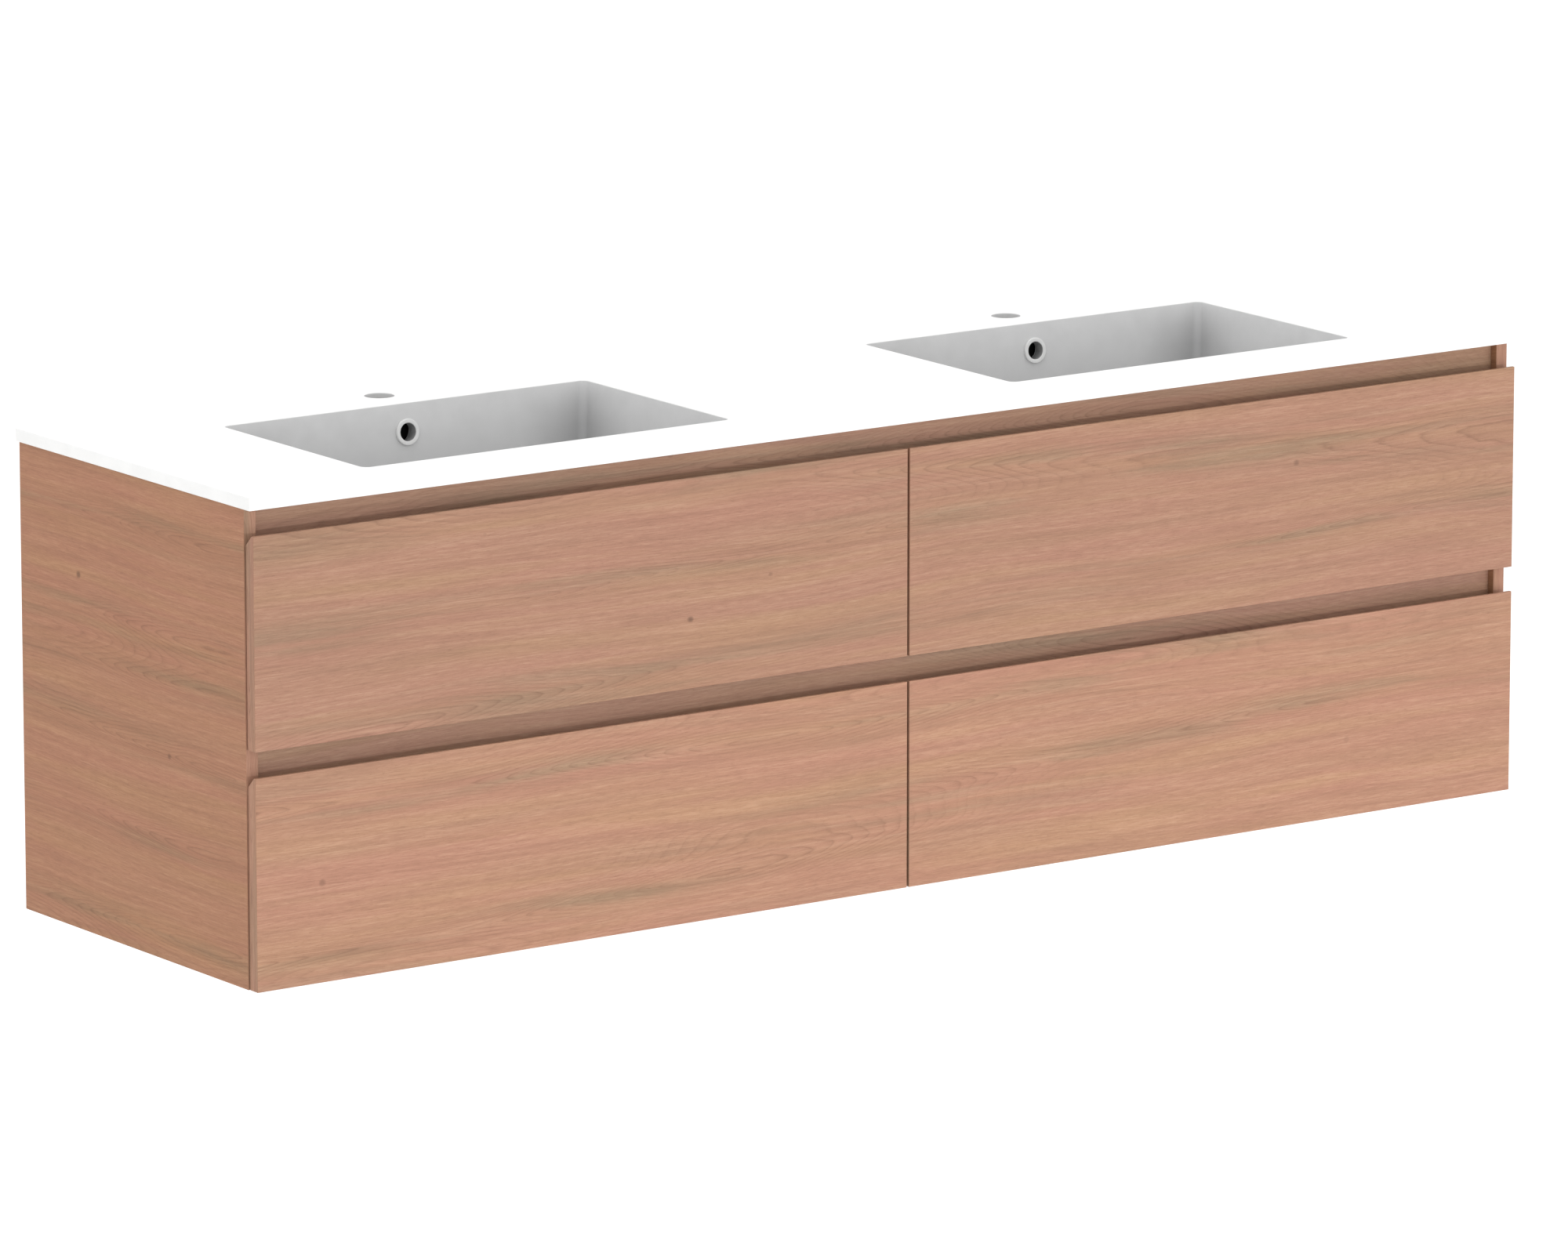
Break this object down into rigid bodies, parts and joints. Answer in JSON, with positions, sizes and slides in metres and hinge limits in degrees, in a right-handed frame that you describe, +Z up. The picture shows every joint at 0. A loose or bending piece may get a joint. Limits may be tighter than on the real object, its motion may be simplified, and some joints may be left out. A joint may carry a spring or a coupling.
{
  "type": "bathroom vanity cabinet",
  "caption": "Wall-hung bathroom vanity: handle-less wood-grain drawers with finger gaps under a thin white slab worktop with rectangular bowls, overflow rings and tap holes.",
  "frame": {"origin": "on the wall plane, in the middle of the wall fixing holes", "axes": "+X to the right seen from the room, +Y into the wall, +Z up; the fronts face -Y"},
  "size_m": [1.8, 0.5, 0.565],
  "materials": {
    "walnut_laminate": "light walnut laminate with a fine matt grain, edges banded to match",
    "drawer_board": "pale grey laminated board with a fine linen print",
    "solid_surface": "white solid surface, silk matt",
    "white_plastic": "moulded white plastic, satin",
    "chrome": "polished chrome",
    "runner_steel": "rolled steel with a thin zinc plating",
    "screw_steel": "zinc-plated and lightly brushed",
    "black_plastic": "moulded black plastic"
  },
  "bodies": {
    "cabinet": {"centre_partition": "walnut_laminate", "bottom_panel": "walnut_laminate", "middle_front_rail": "walnut_laminate", "top_front_rail": "walnut_laminate", "lower_back_rail": "walnut_laminate", "upper_back_rail": "walnut_laminate", "runner_screws": "screw_steel", "worktop": "solid_surface", "waste_nuts": "black_plastic", "side_panel_left": "walnut_laminate", "bowl_left": "solid_surface", "overflow_ring_left": "white_plastic", "waste_left": "chrome", "upper_left_runner_cabinet": "runner_steel", "lower_left_runner_cabinet": "runner_steel", "side_panel_right": "walnut_laminate", "bowl_right": "solid_surface", "overflow_ring_right": "white_plastic", "waste_right": "chrome", "upper_right_runner_cabinet": "runner_steel", "lower_right_runner_cabinet": "runner_steel"},
    "drawer_upper_left": {"upper_left_front": "walnut_laminate", "upper_left_bottom": "drawer_board", "upper_left_back": "drawer_board", "upper_left_side_inner": "drawer_board", "upper_left_side_outer": "drawer_board", "upper_left_fixings": "screw_steel", "upper_left_runner_drawer": "runner_steel", "upper_left_plumbing_surround": "drawer_board"},
    "runner_upper_left": {"upper_left_runner_middle": "runner_steel"},
    "drawer_lower_left": {"lower_left_front": "walnut_laminate", "lower_left_bottom": "drawer_board", "lower_left_back": "drawer_board", "lower_left_side_inner": "drawer_board", "lower_left_side_outer": "drawer_board", "lower_left_fixings": "screw_steel", "lower_left_runner_drawer": "runner_steel"},
    "runner_lower_left": {"lower_left_runner_middle": "runner_steel"},
    "plug_left": {"plug_left": "chrome"},
    "drawer_upper_right": {"upper_right_front": "walnut_laminate", "upper_right_bottom": "drawer_board", "upper_right_back": "drawer_board", "upper_right_side_inner": "drawer_board", "upper_right_side_outer": "drawer_board", "upper_right_fixings": "screw_steel", "upper_right_runner_drawer": "runner_steel", "upper_right_plumbing_surround": "drawer_board"},
    "runner_upper_right": {"upper_right_runner_middle": "runner_steel"},
    "drawer_lower_right": {"lower_right_front": "walnut_laminate", "lower_right_bottom": "drawer_board", "lower_right_back": "drawer_board", "lower_right_side_inner": "drawer_board", "lower_right_side_outer": "drawer_board", "lower_right_fixings": "screw_steel", "lower_right_runner_drawer": "runner_steel"},
    "runner_lower_right": {"lower_right_runner_middle": "runner_steel"},
    "plug_right": {"plug_right": "chrome"}
  },
  "joints": [
    {"name": "upper_left_drawer_slide", "type": "slide", "parent": "cabinet", "child": "drawer_upper_left", "axis": [0, -1, 0], "range_m": [0, 0.4]},
    {"name": "upper_left_runner_slide", "type": "slide", "parent": "cabinet", "child": "runner_upper_left", "axis": [0, -1, 0], "range_m": [0, 0.2]},
    {"name": "lower_left_drawer_slide", "type": "slide", "parent": "cabinet", "child": "drawer_lower_left", "axis": [0, -1, 0], "range_m": [0, 0.4]},
    {"name": "lower_left_runner_slide", "type": "slide", "parent": "cabinet", "child": "runner_lower_left", "axis": [0, -1, 0], "range_m": [0, 0.2]},
    {"name": "left_plug_lift", "type": "slide", "parent": "cabinet", "child": "plug_left", "axis": [0, 0, 1], "range_m": [0, 0.008]},
    {"name": "upper_right_drawer_slide", "type": "slide", "parent": "cabinet", "child": "drawer_upper_right", "axis": [0, -1, 0], "range_m": [0, 0.4]},
    {"name": "upper_right_runner_slide", "type": "slide", "parent": "cabinet", "child": "runner_upper_right", "axis": [0, -1, 0], "range_m": [0, 0.2]},
    {"name": "lower_right_drawer_slide", "type": "slide", "parent": "cabinet", "child": "drawer_lower_right", "axis": [0, -1, 0], "range_m": [0, 0.4]},
    {"name": "lower_right_runner_slide", "type": "slide", "parent": "cabinet", "child": "runner_lower_right", "axis": [0, -1, 0], "range_m": [0, 0.2]},
    {"name": "right_plug_lift", "type": "slide", "parent": "cabinet", "child": "plug_right", "axis": [0, 0, 1], "range_m": [0, 0.008]}
  ],
  "couplings": [
    {"joint": "upper_left_runner_slide", "follows": "upper_left_drawer_slide", "ratio": 0.5},
    {"joint": "lower_left_runner_slide", "follows": "lower_left_drawer_slide", "ratio": 0.5},
    {"joint": "upper_right_runner_slide", "follows": "upper_right_drawer_slide", "ratio": 0.5},
    {"joint": "lower_right_runner_slide", "follows": "lower_right_drawer_slide", "ratio": 0.5}
  ]
}
